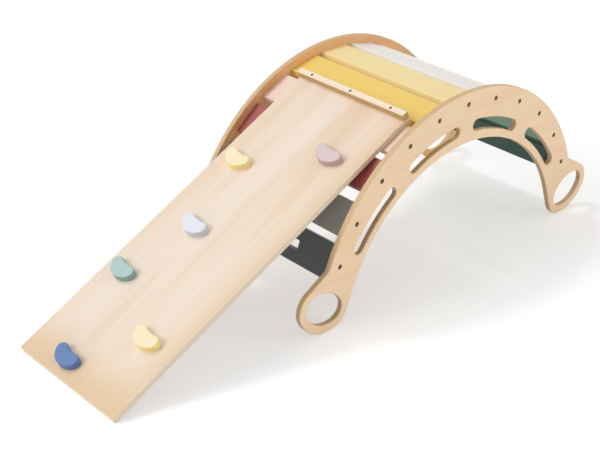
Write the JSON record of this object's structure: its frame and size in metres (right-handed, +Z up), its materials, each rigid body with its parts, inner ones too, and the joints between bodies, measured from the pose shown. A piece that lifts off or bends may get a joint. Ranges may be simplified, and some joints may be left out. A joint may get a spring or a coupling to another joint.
{
  "type": "wooden rocker arch",
  "caption": "Wooden rocking and climbing arch: coloured slats between two curved plywood sides with oval feet, and a hook-on climbing ramp with bean-shaped holds.",
  "frame": {"origin": "on the floor under the middle of the whole object's box", "axes": "+X along the arch away from the ramp, +Y across it, +Z up"},
  "size_m": [1.6269, 0.494, 0.4969],
  "materials": {
    "birch_ply": "clear matt lacquer on birch plywood",
    "zinc_steel": "zinc plated",
    "beech_dowel": "raw turned beech",
    "slate_paint": "satin water-based paint on planed wood",
    "grey_paint": "satin water-based paint on planed wood",
    "wine_paint": "satin water-based paint on planed wood",
    "blush_paint": "satin water-based paint on planed wood",
    "honey_paint": "satin water-based paint on planed wood",
    "straw_paint": "satin water-based paint on planed wood",
    "white_paint": "satin water-based paint on planed wood",
    "apricot_paint": "satin water-based paint on planed wood",
    "sage_paint": "satin water-based paint on planed wood",
    "green_paint": "satin water-based paint on planed wood",
    "blue_paint": "satin water-based paint on planed wood",
    "cream_paint": "satin water-based paint on planed wood",
    "mint_paint": "satin water-based paint on planed wood",
    "ice_paint": "satin water-based paint on planed wood",
    "lilac_paint": "satin water-based paint on planed wood"
  },
  "bodies": {
    "arch": {"panel_near": "birch_ply", "panel_far": "birch_ply", "slat_1": "slate_paint", "slat_2": "grey_paint", "slat_3": "wine_paint", "slat_4": "blush_paint", "slat_5": "honey_paint", "slat_6": "straw_paint", "slat_7": "white_paint", "slat_8": "apricot_paint", "slat_9": "mint_paint", "slat_10": "sage_paint", "slat_11": "green_paint", "bolts_near": "zinc_steel", "bolts_far": "zinc_steel", "barrel_nuts": "zinc_steel", "slat_dowels": "beech_dowel"},
    "ramp": {"ramp_board": "birch_ply", "ramp_top_strip": "birch_ply", "ramp_hook_batten": "birch_ply", "strip_screws": "zinc_steel", "hold_1": "blue_paint", "hold_2": "cream_paint", "hold_3": "mint_paint", "hold_4": "ice_paint", "hold_5": "cream_paint", "hold_6": "lilac_paint", "hold_screws": "zinc_steel"}
  },
  "joints": [
    {"name": "ramp_lift", "type": "slide", "parent": "arch", "child": "ramp", "axis": [-0.4479, 0, 0.8941], "range_m": [0, 0.12]}
  ]
}
